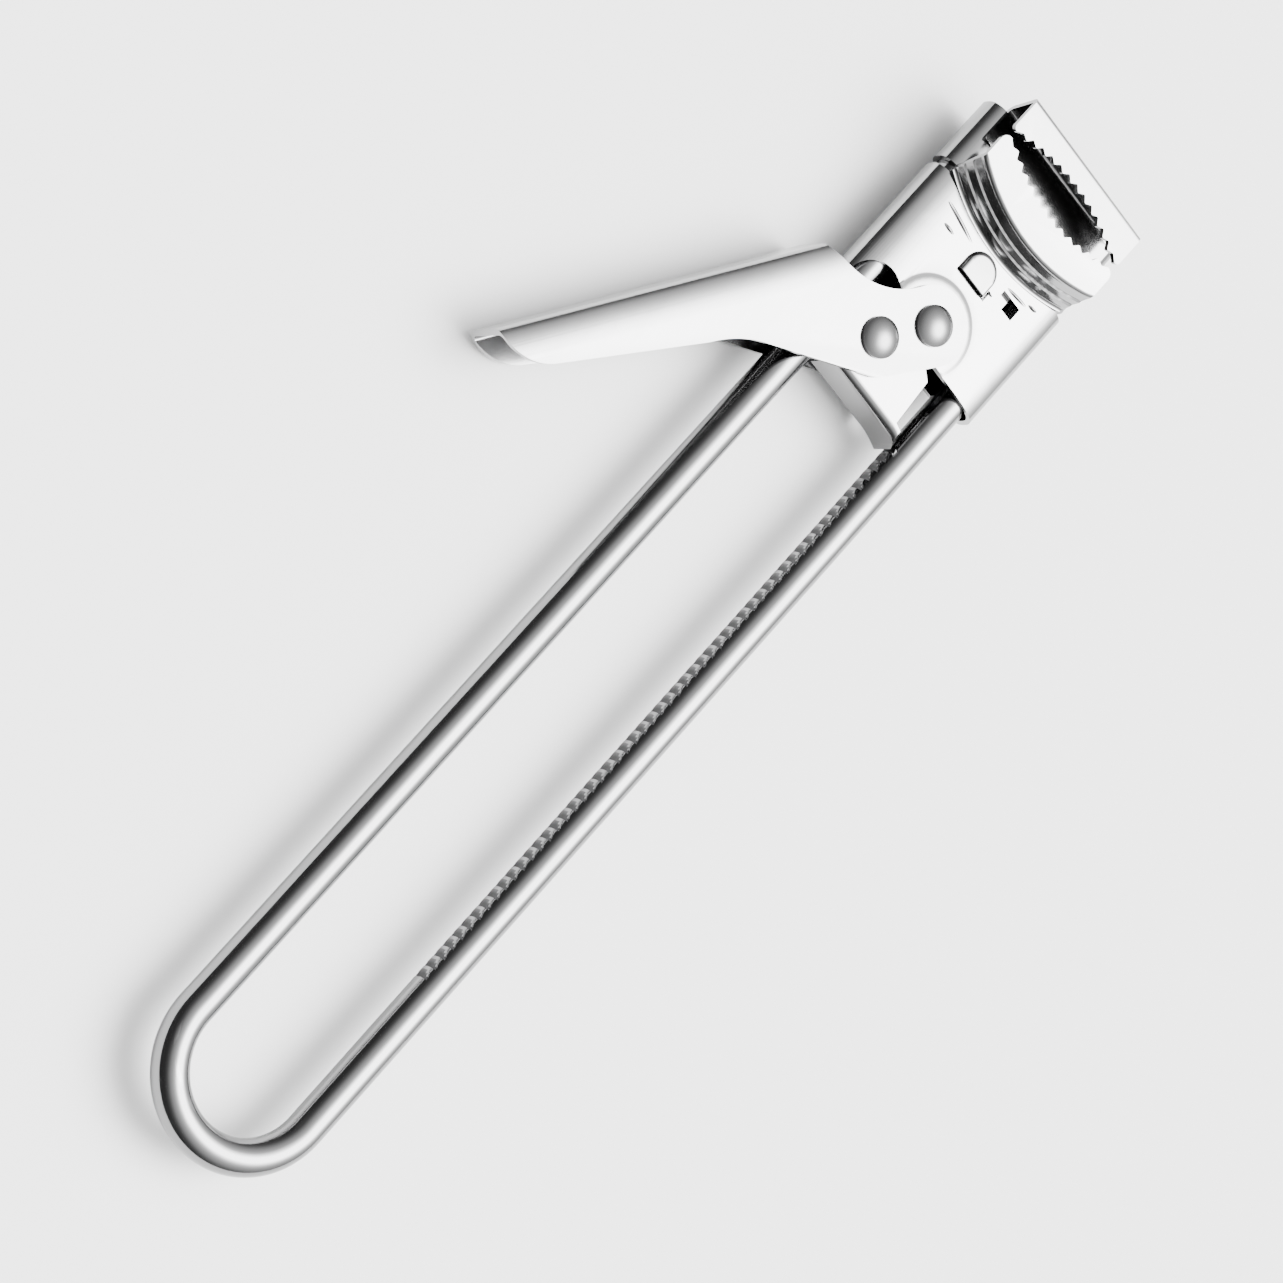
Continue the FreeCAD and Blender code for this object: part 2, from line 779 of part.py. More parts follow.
def make_rivet(label, seat):
    """A rivet with a domed head at each end; seat is the height of the faces that the heads stand on."""
    body = new_body(label)
    shank = dims["shank_radius"]
    head = dims["head_radius"]
    rim = seat + dims["head_rim"]
    crown = rim + dims["head_dome"]
    rise = dims["head_dome"].value
    flat = as_dim(0.3)
    reach = head.value - flat.value
    dome = as_dim((reach ** 2 + rise ** 2) / (2 * rise))
    profile = new_sketch(body, "XZ_Plane", "profile")
    draw_outline(profile, [
        (ZERO, -crown),
        (flat, -crown),
        (head, -rim, dome, "left"),
        (head, -seat),
        (shank, -seat),
        (shank, seat),
        (head, seat),
        (head, rim),
        (flat, crown, dome, "left"),
        (ZERO, crown),
    ])
    revolve(body, profile, "turned", 360)
    return body


def make_pivot_spacer():
    body = new_body("pivot_spacer")
    ring = new_sketch(body, "XY_Plane", "ring")
    draw_circle(ring, ZERO, ZERO, dims["spacer_radius"])
    draw_circle(ring, ZERO, ZERO, dims["shank_radius"])
    height = (dims["sleeve_radius"] - dims["jaw_sheet"]) * 2
    pad(body, ring, "tube", height, symmetric=True)
    return body


def make_return_spring():
    """A torsion spring: one leg lies under the link rivet, the other bears on the end of the jaw's tongue."""
    body = new_body("return_spring")
    radius = dims["spring_radius"]
    wire = dims["wire_radius"]
    low = dims["spring_height"] * -0.5
    high = dims["spring_height"] * 0.5

    section = new_sketch(body, "YZ_Plane", "coil_section")
    draw_circle(section, radius, low, wire)
    coil = body.newObject("PartDesign::AdditiveHelix", "coil")
    coil.Profile = section
    coil.ReferenceAxis = (section, ["V_Axis"])
    coil.Mode = "height-turns-angle"
    coil.LeftHanded = True
    coil.setExpression("Height", dims["spring_height"].text)
    coil.setExpression("Turns", dims["spring_turns"].text)
    document.recompute()

    lever_leg = new_sketch(body, "YZ_Plane", "lever_leg_section")
    draw_circle(lever_leg, radius, low, wire)
    pad(body, lever_leg, "lever_leg", dims["lever_leg"], backwards=True)
    jaw_leg = new_sketch(body, "XZ_Plane", "jaw_leg_section")
    draw_circle(jaw_leg, radius, high, wire)
    pad(body, jaw_leg, "jaw_leg", dims["jaw_leg"])
    return body


# ---------------------------------------------------------------- assembly


pivot_x = dims["pivot_x"].value
pivot_y = dims["pivot_y"].value
at_pivot = placed(pivot_x, pivot_y)
opened = placed(pivot_x, pivot_y, -LEVER_OPEN_DEGREES)
link_local = FreeCAD.Vector(dims["link_x"].value, dims["link_y"].value, 0)
link_point = opened.multVec(link_local)
at_link = placed(link_point.x, link_point.y)

pivot_seat = dims["lever_half_depth"] + dims["running_gap"]
link_seat = dims["lever_half_depth"]
places = [
    (make_u_rod(), placed()),
    (make_fixed_jaw(), placed()),
    (make_slider_sleeve(), placed()),
    (make_sliding_jaw(), placed()),
    (make_lever(), opened),
    (make_pawl(), at_link),
    (make_rivet("pivot_rivet", pivot_seat), at_pivot),
    (make_rivet("link_rivet", link_seat), at_link),
    (make_pivot_spacer(), at_pivot),
    (make_return_spring(), at_pivot),
]

for item in document.Objects:
    for state in item.State:
        if state in ("Invalid", "Error"):
            raise RuntimeError(item.Name + " failed")

box = FreeCAD.BoundBox()
for body, place in places:
    box.add(body.Shape.transformGeometry(place.toMatrix()).optimalBoundingBox(False, False))
origin = FreeCAD.Vector(box.Center.x, box.Center.y, box.ZMin)
to_origin = FreeCAD.Placement(origin * -1, FreeCAD.Rotation())

os.makedirs("parts", exist_ok=True)
for body, place in places:
    body.Placement = to_origin.multiply(place)
    document.recompute()
    shape = body.Shape
    if shape.isNull() or not shape.isValid() or len(shape.Solids) != 1:
        raise RuntimeError(body.Label + " is not one valid solid")
    shape.exportStep("parts/" + body.Label + ".step")
    print(body.Label, "volume", round(shape.Volume, 1))

print("origin in the drawing:", [round(value, 3) for value in origin])
print("box:", [round(value, 3) for value in (box.XLength, box.YLength, box.ZLength)])
print("pivot:", [round(value, 3) for value in (at_pivot.Base - origin)])
print("link:", [round(value, 3) for value in (link_point - origin)])
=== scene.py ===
import math

import bmesh
import bpy
from mathutils import Euler, Matrix, Vector


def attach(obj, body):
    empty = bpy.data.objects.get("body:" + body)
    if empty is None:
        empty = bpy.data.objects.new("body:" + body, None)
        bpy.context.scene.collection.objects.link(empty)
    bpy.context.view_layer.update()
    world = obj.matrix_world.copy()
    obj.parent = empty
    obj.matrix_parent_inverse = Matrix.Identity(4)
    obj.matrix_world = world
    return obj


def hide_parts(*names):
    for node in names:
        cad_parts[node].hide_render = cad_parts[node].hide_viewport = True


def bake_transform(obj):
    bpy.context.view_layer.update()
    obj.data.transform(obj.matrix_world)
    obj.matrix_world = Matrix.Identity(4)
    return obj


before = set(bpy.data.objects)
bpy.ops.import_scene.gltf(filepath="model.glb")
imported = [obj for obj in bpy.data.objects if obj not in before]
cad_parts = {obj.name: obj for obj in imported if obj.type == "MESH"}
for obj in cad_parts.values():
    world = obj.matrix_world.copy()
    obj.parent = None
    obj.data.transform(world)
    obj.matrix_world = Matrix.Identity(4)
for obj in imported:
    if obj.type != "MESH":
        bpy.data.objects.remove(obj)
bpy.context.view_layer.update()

# Pieces are drawn in millimetres in the tool's drawing frame: zero at the middle of the rod's bend, +X
# along the legs to the jaws, +Y to the lever and +Z out of the toothed plates. finish_piece() moves them to
# the part's frame.
MILLIMETRE = 0.001
DRAWING_ORIGIN = Vector((-92.75, -17.758, 7.3))
PIVOT = Vector((164.0, 0.3, 0.0))
LEVER_TURN = math.radians(-29.7)
LINK_IN_LEVER = Vector((-10.5, 0.5, 0.0))
AT_PIVOT = Matrix.Translation(PIVOT)
IN_LEVER = AT_PIVOT @ Matrix.Rotation(LEVER_TURN, 4, "Z")
LINK = IN_LEVER @ LINK_IN_LEVER
AT_LINK = Matrix.Translation(LINK)
TO_PART = Matrix.Scale(MILLIMETRE, 4) @ Matrix.Translation(DRAWING_ORIGIN)

ROD_RADIUS = 3.0
LEG_HALF_SPACING = 13.3
LEG_END_X = 198.4
RING_STEPS = 120
ROUND_CLIP = 0.002
GROUND_CLIP = 0.10
TOOTH_FIRST_X = 29.4
TOOTH_PITCH = 2.125
TOOTH_COUNT = 56
TOOTH_DEPTH = 0.75
TOOTH_RAMP = 1.55
TOOTH_FACE_HALF = 0.02

JAW_SHEET = 0.9
JAW_TOP = 10.0
SEAM_GAP = 0.3
FOLD_POWER = 3.0
OUTER_FOLD_REACH = 11.0
INNER_FOLD_REACH = 6.5
EDGE_ROUNDING = 0.12
BITE_PITCH = 2.2
BITE_COUNT = 13
BITE_DEPTH = 0.72
BITE_HALF_WIDTH = 0.95
BITE_ROOT_HALF = 0.12

SLEEVE_LOW_X = 160.4
SLEEVE_HIGH_X = 184.4
SLEEVE_RADIUS = 4.1
PANEL_APEX_X = 180.95
WALL_RADIUS = 36.0
WALL_CENTRE_X = PANEL_APEX_X + WALL_RADIUS
PAD_RISE = 0.35

CAMERA_PLACE = (-0.29583, 0.29489, 0.72017)
CAMERA_TURN = (-1.795, -31.121, -43.196)
WINDOW_WAY = (0.29, -0.5, 0.81)


# ---------------------------------------------------------------- outlines


def arc(start, end, radius, side, steps=10):
    """Points after start on the shorter arc to end. Its centre is on the left or right of the way there."""
    start, end = Vector(start), Vector(end)
    half = (end - start) / 2
    across = Vector((-half.y, half.x)).normalized()
    if side == "right":
        across = -across
    centre = start + half + across * math.sqrt(max(radius * radius - half.length_squared, 0.0))
    first = start - centre
    sweep = 2 * math.asin(min(half.length / radius, 1.0))
    if side == "right":
        sweep = -sweep
    points = []
    for step in range(1, steps + 1):
        angle = sweep * step / steps
        turned = Matrix.Rotation(angle, 2) @ first
        points.append((centre.x + turned.x, centre.y + turned.y))
    return points


def outline(steps, arc_steps=10):
    """A closed outline. A step is (x, y) for a straight edge, or (x, y, radius, side) for an arc to it."""
    points = []
    for number, step in enumerate(steps):
        if len(step) == 2:
            points.append(tuple(step))
        else:
            points.extend(arc(steps[number - 1][:2], step[:2], step[2], step[3], arc_steps))
    return points


def shoulder(first, last, power):
    """Points from first, on the narrow side of a rounded fold, to last, where the broad side is flat."""
    steps = 22
    points = []
    for step in range(steps + 1):
        angle = math.pi / 2 * step / steps
        across = math.cos(angle) ** (2 / power)
        along = math.sin(angle) ** (2 / power)
        points.append((
            last[0] + (first[0] - last[0]) * across,
            first[1] + (last[1] - first[1]) * along,
        ))
    return points


def folded_outline(middle, half, height, reach):
    """The way round a flattened tube, from one side of the seam in its back to the other."""
    right = shoulder((middle + half, 0.0), (middle + half - reach, height), FOLD_POWER)
    left = [(2 * middle - y, z) for y, z in right]
    lower_right = [(y, -z) for y, z in right[::-1]]
    lower_left = [(y, -z) for y, z in left[1:]]
    start = [(middle + SEAM_GAP / 2, -height)]
    end = [(middle - SEAM_GAP / 2, -height)]
    return start + lower_right + right[1:] + left[::-1] + lower_left + end


def flat_tube_section(middle, half, height):
    """Jaw sheet folded to a flattened tube, as (y, z) points, with a seam along the middle of its back."""
    outer = folded_outline(middle, half, height, OUTER_FOLD_REACH)
    inner = folded_outline(middle, half - JAW_SHEET, height - JAW_SHEET, INNER_FOLD_REACH)
    return outer + inner[::-1]


# ---------------------------------------------------------------- meshes


def mesh_object(name, vertices, faces):
    """An object with its doubled points joined and its faces turned outwards."""
    mesh = bpy.data.meshes.new(name)
    mesh.from_pydata([tuple(vertex) for vertex in vertices], [], faces)
    obj = bpy.data.objects.new(name, mesh)
    bpy.context.scene.collection.objects.link(obj)
    work = bmesh.new()
    work.from_mesh(mesh)
    bmesh.ops.remove_doubles(work, verts=work.verts, dist=1e-5)
    bmesh.ops.recalc_face_normals(work, faces=work.faces)
    work.to_mesh(mesh)
    work.free()
    return obj


def loft(name, rings):
    """A tube through rings of points, closed with flat ends."""
    count = len(rings[0])
    vertices = [point for ring in rings for point in ring]
    faces = []
    for row in range(len(rings) - 1):
        for column in range(count):
            following = (column + 1) % count
            low = row * count
            high = low + count
            faces.append((low + column, low + following, high + following, high + column))
    faces.append(tuple(range(count)))
    last = (len(rings) - 1) * count
    faces.append(tuple(range(last, last + count)))
    return mesh_object(name, vertices, faces)


def prism(name, points, low, high):
    """An outline in the XY plane, thick from low to high."""
    return loft(name, [[(x, y, z) for x, y in points] for z in (low, high)])


def along_x(name, section, stations):
    """A (y, z) section carried along X."""
    return loft(name, [[(x, y, z) for y, z in section] for x in stations])


def along_y(name, section, stations):
    """An (x, z) section carried along Y."""
    return loft(name, [[(x, y, z) for x, z in section] for y in stations])


def turned(name, profile, centre=(0.0, 0.0), steps=64):
    """A (radius, z) profile from axis to axis, turned about an upright line."""
    rings = []
    for step in range(steps):
        angle = 2 * math.pi * step / steps
        rings.append([
            (centre[0] + radius * math.cos(angle), centre[1] + radius * math.sin(angle), z)
            for radius, z in profile
        ])
    count = len(profile)
    faces = []
    for step in range(steps):
        here = step * count
        there = (step + 1) % steps * count
        for row in range(count - 1):
            faces.append((here + row, there + row, there + row + 1, here + row + 1))
    obj = mesh_object(name, [point for ring in rings for point in ring], faces)
    work = bmesh.new()
    work.from_mesh(obj.data)
    bmesh.ops.dissolve_degenerate(work, dist=1e-4, edges=work.edges)
    bmesh.ops.recalc_face_normals(work, faces=work.faces)
    work.to_mesh(obj.data)
    work.free()
    return obj


def box(name, low, high):
    corners = [(low[0], low[1]), (high[0], low[1]), (high[0], high[1]), (low[0], high[1])]
    return prism(name, corners, low[2], high[2])


def cylinder(name, x, y, radius, low, high, steps=96):
    points = []
    for step in range(steps):
        angle = 2 * math.pi * (step + 0.5) / steps
        points.append((x + radius * math.cos(angle), y + radius * math.sin(angle)))
    return prism(name, points, low, high)


def bake(obj):
    """Make the modifiers' result the object's own mesh."""
    graph = bpy.context.evaluated_depsgraph_get()
    result = bpy.data.meshes.new_from_object(obj.evaluated_get(graph))
    old = obj.data
    obj.modifiers.clear()
    obj.data = result
    bpy.data.meshes.remove(old)


def combine(target, tool, operation):
    modifier = target.modifiers.new("combine", "BOOLEAN")
    modifier.operation = operation
    modifier.solver = "EXACT"
    modifier.object = tool
    bake(target)
    bpy.data.objects.remove(tool, do_unlink=True)
    return target


def cut(target, *tools):
    for tool in tools:
        combine(target, tool, "DIFFERENCE")
    return target


def add(target, *tools):
    for tool in tools:
        combine(target, tool, "UNION")
    return target


def merge(target, *others):
    """Put other meshes into the target's mesh as they are."""
    work = bmesh.new()
    work.from_mesh(target.data)
    for other in others:
        work.from_mesh(other.data)
        bpy.data.objects.remove(other, do_unlink=True)
    work.to_mesh(target.data)
    work.free()
    return target


def soften(obj, width):
    """Round the sharp edges a little, as on tumbled and polished sheet."""
    work = bmesh.new()
    work.from_mesh(obj.data)
    bmesh.ops.remove_doubles(work, verts=work.verts, dist=1e-4)
    bmesh.ops.dissolve_limit(
        work,
        angle_limit=math.radians(0.6),
        verts=work.verts,
        edges=work.edges,
        use_dissolve_boundaries=False,
    )
    work.to_mesh(obj.data)
    work.free()
    modifier = obj.modifiers.new("edges", "BEVEL")
    modifier.width = width
    modifier.segments = 2
    modifier.limit_method = "ANGLE"
    modifier.angle_limit = math.radians(40)
    bake(obj)
    return obj


def finish_piece(obj, node, body, material, place=Matrix.Identity(4), smooth=38, weigh=True):
    """Shade the piece, move it to the part's frame, give it its material and hide the CAD node that it
    stands for.

    body is the name of one body, which the piece is attached to, or two bodies and two points: the piece is
    then attached to no body and its place is baked into its mesh. The two bodies and the two points are not
    used.
    """
    obj.data.transform(TO_PART @ place)
    for face in obj.data.polygons:
        face.use_smooth = True
    obj.data.set_sharp_from_angle(angle=math.radians(smooth))
    if weigh:
        modifier = obj.modifiers.new("flat faces stay flat", "WEIGHTED_NORMAL")
        modifier.keep_sharp = True
    obj.data.materials.clear()
    obj.data.materials.append(material)
    if isinstance(body, str):
        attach(obj, body)
    else:
        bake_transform(obj)
    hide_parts(node)
    return obj


# ---------------------------------------------------------------- materials


def link(material, source, target):
    material.node_tree.links.new(source, target)


def set_inputs(node, **values):
    for name, value in values.items():
        node.inputs[name.replace("_", " ")].default_value = value


def steel(name, tint, roughness, spread, stretch):
    """Polished stainless steel: faint grain, cloudy polish, fine bumps and brighter worn edges."""
    material = bpy.data.materials.new(name)
    material.use_nodes = True
    nodes = material.node_tree.nodes
    shader = nodes["Principled BSDF"]
    set_inputs(shader, Metallic=1.0, Anisotropic=0.25)

    coordinates = nodes.new("ShaderNodeTexCoord")
    mapping = nodes.new("ShaderNodeMapping")
    mapping.inputs["Scale"].default_value = stretch
    link(material, coordinates.outputs["Object"], mapping.inputs["Vector"])

    grain = nodes.new("ShaderNodeTexNoise")
    set_inputs(grain, Scale=900.0, Detail=4.0)
    link(material, mapping.outputs["Vector"], grain.inputs["Vector"])

    cloud = nodes.new("ShaderNodeTexNoise")
    set_inputs(cloud, Scale=70.0, Detail=3.0)
    link(material, coordinates.outputs["Object"], cloud.inputs["Vector"])

    blend = nodes.new("ShaderNodeMath")
    blend.operation = "MULTIPLY_ADD"
    blend.inputs[1].default_value = 0.6
    link(material, cloud.outputs["Fac"], blend.inputs[0])
    grain_share = nodes.new("ShaderNodeMath")
    grain_share.operation = "MULTIPLY"
    grain_share.inputs[1].default_value = 0.4
    link(material, grain.outputs["Fac"], grain_share.inputs[0])
    link(material, grain_share.outputs[0], blend.inputs[2])

    gloss = nodes.new("ShaderNodeMapRange")
    set_inputs(gloss, From_Min=0.3, From_Max=0.7, To_Min=roughness, To_Max=roughness + spread)
    link(material, blend.outputs[0], gloss.inputs["Value"])
    link(material, gloss.outputs["Result"], shader.inputs["Roughness"])

    geometry = nodes.new("ShaderNodeNewGeometry")
    edge = nodes.new("ShaderNodeMapRange")
    set_inputs(edge, From_Min=0.5, From_Max=0.62, To_Min=0.0, To_Max=0.5)
    link(material, geometry.outputs["Pointiness"], edge.inputs["Value"])

    shade = nodes.new("ShaderNodeValToRGB")
    shade.color_ramp.elements[0].position = 0.25
    shade.color_ramp.elements[0].color = (tint[0] * 0.93, tint[1] * 0.93, tint[2] * 0.935, 1.0)
    shade.color_ramp.elements[1].position = 0.75
    shade.color_ramp.elements[1].color = (*tint, 1.0)
    link(material, cloud.outputs["Fac"], shade.inputs["Fac"])

    worn = nodes.new("ShaderNodeMix")
    worn.data_type = "RGBA"
    worn.inputs["B"].default_value = (0.36, 0.36, 0.362, 1.0)
    link(material, edge.outputs["Result"], worn.inputs["Factor"])
    link(material, shade.outputs["Color"], worn.inputs["A"])
    link(material, worn.outputs["Result"], shader.inputs["Base Color"])

    wave = nodes.new("ShaderNodeBump")
    set_inputs(wave, Strength=0.8, Distance=0.00012)
    link(material, cloud.outputs["Fac"], wave.inputs["Height"])

    bump = nodes.new("ShaderNodeBump")
    set_inputs(bump, Strength=0.25, Distance=0.000004)
    link(material, blend.outputs[0], bump.inputs["Height"])
    link(material, wave.outputs["Normal"], bump.inputs["Normal"])
    link(material, bump.outputs["Normal"], shader.inputs["Normal"])
    return material


ROD_STEEL = steel("rod_steel_look", (0.21, 0.21, 0.211), 0.11, 0.05, (0.15, 1.0, 1.0))
# The teeth's near-black tint is painted shade in the grooves between the teeth; their higher roughness is
# the milled faces' own.
SHADED_TOOTH_STEEL = steel("tooth_steel_painted_shade_look", (0.045, 0.045, 0.046), 0.26, 0.14, (1.0, 0.2, 1.0))
SLEEVE_STEEL = steel("sleeve_steel_look", (0.28, 0.28, 0.281), 0.10, 0.05, (1.0, 0.2, 1.0))
JAW_STEEL = steel("jaw_steel_look", (0.28, 0.28, 0.281), 0.10, 0.06, (1.0, 0.25, 1.0))
# The fixed jaw's darker tint is painted shade: it stands in for the duller reflection on its toothed plate.
SHADED_PLATE_STEEL = steel("plate_steel_painted_shade_look", (0.16, 0.16, 0.161), 0.12, 0.07, (1.0, 0.25, 1.0))
LEVER_STEEL = steel("lever_steel_look", (0.27, 0.27, 0.271), 0.16, 0.07, (0.2, 1.0, 1.0))
PAWL_STEEL = steel("pawl_steel_look", (0.26, 0.26, 0.261), 0.10, 0.06, (1.0, 0.3, 1.0))
RIVET_STEEL = steel("rivet_steel_look", (0.2, 0.2, 0.201), 0.16, 0.07, (1.0, 1.0, 1.0))
SPACER_STEEL = steel("spacer_steel_look", (0.3, 0.3, 0.303), 0.28, 0.10, (1.0, 1.0, 0.2))
SPRING_STEEL = steel("spring_steel_look", (0.22, 0.22, 0.23), 0.24, 0.10, (1.0, 1.0, 1.0))


# ---------------------------------------------------------------- the rod


def rod_ring(centre, inward, clip):
    """A ring round the rod. It is cut flat on the inward side, clip deep."""
    reach = ROD_RADIUS - clip
    points = []
    for step in range(RING_STEPS):
        angle = 2 * math.pi * step / RING_STEPS
        side = min(ROD_RADIUS * math.cos(angle), reach)
        points.append(centre + inward * side + Vector((0, 0, ROD_RADIUS * math.sin(angle))))
    return points


def make_u_rod():
    """The bent rod. Stations are (x, clip) down the toothed leg, from its end to the bend."""
    stations = [(LEG_END_X, ROUND_CLIP)]
    for tooth in reversed(range(TOOTH_COUNT)):
        start = TOOTH_FIRST_X + tooth * TOOTH_PITCH
        stations.append((start + TOOTH_RAMP, ROUND_CLIP))
        for share in (0.67, 0.33):
            stations.append((start + TOOTH_RAMP * share, TOOTH_DEPTH * (1 - share)))
        stations.append((start + TOOTH_FACE_HALF, TOOTH_DEPTH))
        stations.append((start - TOOTH_FACE_HALF, ROUND_CLIP if tooth else GROUND_CLIP))
    # Below the teeth the grinding wheel has left a shallow flat that fades out round the bend.
    flat_steps = 9
    for step in range(1, flat_steps):
        stations.append((TOOTH_FIRST_X * (1 - step / flat_steps), GROUND_CLIP))
    rings = []
    for x, clip in stations:
        rings.append(rod_ring(Vector((x, -LEG_HALF_SPACING, 0)), Vector((0, 1, 0)), clip))
    bend_steps = 56
    for step in range(bend_steps + 1):
        angle = -math.pi / 2 - math.pi * step / bend_steps
        out = Vector((math.cos(angle), math.sin(angle), 0))
        clip = max(GROUND_CLIP * (1 - 2.2 * step / bend_steps), ROUND_CLIP)
        rings.append(rod_ring(out * LEG_HALF_SPACING, -out, clip))
    leg_steps = 20
    for step in range(1, leg_steps + 1):
        x = LEG_END_X * step / leg_steps
        rings.append(rod_ring(Vector((x, LEG_HALF_SPACING, 0)), Vector((0, -1, 0)), ROUND_CLIP))
    return loft("rod", rings)


def darken_teeth(rod):
    """Give the milled faces of the teeth their rougher steel, with a near-black tint that is painted shade
    in the grooves between the teeth. The rod is already in the part's frame.
    """
    rod.data.materials.append(SHADED_TOOTH_STEEL)
    leg = TO_PART @ Vector((TOOTH_FIRST_X, -LEG_HALF_SPACING, 0.0))
    reach = (ROD_RADIUS - 0.03) * MILLIMETRE
    start = -0.1 * MILLIMETRE
    length = TOOTH_COUNT * TOOTH_PITCH * MILLIMETRE
    for face in rod.data.polygons:
        away = math.hypot(face.center.y - leg.y, face.center.z - leg.z)
        if away < reach and start < face.center.x - leg.x < length:
            face.material_index = 1


# ---------------------------------------------------------------- toothed plates


def bitten_edge(centre_x, radius, direction, half_width):
    """Points from low Y to high Y along a toothed arc. It bulges to +X where direction is +1, else to -X."""
    tip = radius - BITE_DEPTH
    pitch = BITE_PITCH / radius
    points = []

    def at(distance, angle):
        return (centre_x + direction * distance * math.cos(angle), distance * math.sin(angle))

    first = -(BITE_COUNT - 1) / 2 * pitch
    lead = first - BITE_HALF_WIDTH / tip
    limit = max(math.asin(half_width / tip), 0.01 - lead)
    end_steps = 6
    for step in range(end_steps):
        points.append(at(tip, -limit + (lead + limit) * step / end_steps))
    for bite in range(BITE_COUNT):
        middle = first + bite * pitch
        points.append(at(tip, middle - BITE_HALF_WIDTH / tip))
        points.append(at(radius, middle - BITE_ROOT_HALF / radius))
        points.append(at(radius, middle + BITE_ROOT_HALF / radius))
        points.append(at(tip, middle + BITE_HALF_WIDTH / tip))
    for step in range(1, end_steps + 1):
        points.append(at(tip, -lead + (limit + lead) * step / end_steps))
    return points


# ---------------------------------------------------------------- the fixed jaw


def make_fixed_jaw():
    low, high = 186.2, 199.4
    outer = 3.92
    inner = outer - JAW_SHEET
    foot, head = 200.8, 201.8
    bend = 1.9
    lip = 1.1
    half = 14.9
    body = along_x("fixed_wrap", flat_tube_section(0.0, 17.22, outer), (low, high))
    wall = along_y("fixed_wall", outline([
        (foot - bend - 6, inner),
        (foot - bend, inner),
        (foot, inner + bend, bend, "left"),
        (head, JAW_TOP - lip),
        (head - lip, JAW_TOP, lip, "left"),
        (head - 2.4, JAW_TOP),
        (head - 2.4, JAW_TOP - JAW_SHEET),
        (head - JAW_SHEET, JAW_TOP - JAW_SHEET),
        (foot - JAW_SHEET, inner + bend),
        (foot - bend, outer, bend - JAW_SHEET, "right"),
        (foot - bend - 6, outer),
    ], 8), (-half, half))
    plate_low = 194.8
    edge = [point for point in bitten_edge(160.9, 37.0, 1, 14.0) if point[0] > plate_low + 0.05]
    corner = 0.8
    plate = prism("fixed_plate", [
        (plate_low, half - corner),
        *arc((plate_low, half - corner), (plate_low + corner, half), corner, "right", 6),
        (head - 1.2, half),
        (head - 1.2, -half),
        (plate_low + corner, -half),
        *arc((plate_low + corner, -half), (plate_low, -half + corner), corner, "right", 6),
        *edge,
    ], JAW_TOP - JAW_SHEET, JAW_TOP)
    add(body, wall, plate)
    return soften(body, EDGE_ROUNDING)


# ---------------------------------------------------------------- the sliding head


def d_outline(low, straight, radius):
    dish = low + straight
    return outline([
        (low, -radius),
        (dish, -radius),
        (dish + radius, 0.0, radius, "left"),
        (dish, radius, radius, "left"),
        (low, radius),
    ], 12)


def crease(name, start, end, width, height):
    """A low ridge that stands on the panel."""
    way = end - start
    middle = (start + end) / 2
    profile = [(0.0, -0.5), (0.45, -0.3), (1.0, 0.0), (0.45, 0.3), (0.0, 0.5)]
    obj = turned(name, profile, steps=24)
    obj.data.transform(
        Matrix.Translation((middle.x, middle.y, height))
        @ Matrix.Rotation(math.atan2(way.y, way.x), 4, "Z")
        @ Matrix.Diagonal((way.length / 2, width / 2, 0.7, 1.0))
    )
    return obj


def make_slider_sleeve():
    radius = SLEEVE_RADIUS
    section = flat_tube_section(-0.25, 17.6, radius)
    body = along_x("sleeve_tube", section, (SLEEVE_LOW_X, SLEEVE_HIGH_X))
    crown = radius + PAD_RISE
    dish = [
        (0.0, radius - 0.4),
        (8.8, radius - 0.4),
        (8.8, radius - 0.02),
        (8.4, radius + 0.07),
        (8.0, radius + 0.19),
        (7.6, radius + 0.29),
        (7.1, radius + 0.34),
        (6.6, crown),
        (0.0, crown),
    ]
    for name, side in (("front_pad", 1), ("back_pad", -1)):
        add(body, turned(name, [(r, z * side) for r, z in dish], (PIVOT.x, PIVOT.y)))
    cut(
        body,
        box("below", (SLEEVE_LOW_X - 12, -20, -8), (SLEEVE_LOW_X, 20, 8)),
        cylinder("front_edge", WALL_CENTRE_X, 0.0, WALL_RADIUS, 0.7, 8.0, 256),
        cylinder("corner_notch", 160.2, 11.3, 5.0, 1.1, 8.0),
        box("tab_slot", (174.45, -3.5, 2.9), (174.75, 3.4, 6.0)),
        box("tab_relief", (174.45, -3.9, 2.9), (176.6, -3.45, 6.0)),
        box("window", (176.3, -9.8, 2.9), (178.9, -5.5, 6.0)),
    )
    soften(body, EDGE_ROUNDING)

    # The lanced tab stands up from the panel along its sheared edge. A level is (height, outline's inset).
    tab_low, tab_straight, tab_radius = 174.75, 2.55, 3.3
    levels = (
        (-0.3, 0.0), (0.15, 0.02), (0.4, 0.08), (0.62, 0.18), (0.8, 0.36), (0.88, 0.6), (0.91, 0.95),
    )
    rings = []
    for rise, inset in levels:
        rings.append([
            (x, y, radius + rise * (1.0 - 0.16 * max(x - tab_low - tab_straight, 0.0)))
            for x, y in d_outline(tab_low, tab_straight, tab_radius - inset)
        ])
    tab = loft("tab", rings)

    # Pressed creases where the panel was folded over the tongue.
    creases = []
    for number, (start, end, width) in enumerate((
        ((180.7, 12.1), (179.3, 4.2), 0.8),
        ((177.6, 10.2), (177.6, 7.7), 0.7),
        ((179.6, -5.6), (180.15, -10.3), 0.7),
        ((180.75, -10.4), (181.05, -12.3), 0.55),
        ((176.3, -3.6), (176.3, -4.6), 0.5),
    )):
        creases.append(crease("crease_%d" % number, Vector(start), Vector(end), width, radius))
    return merge(body, tab, *creases)


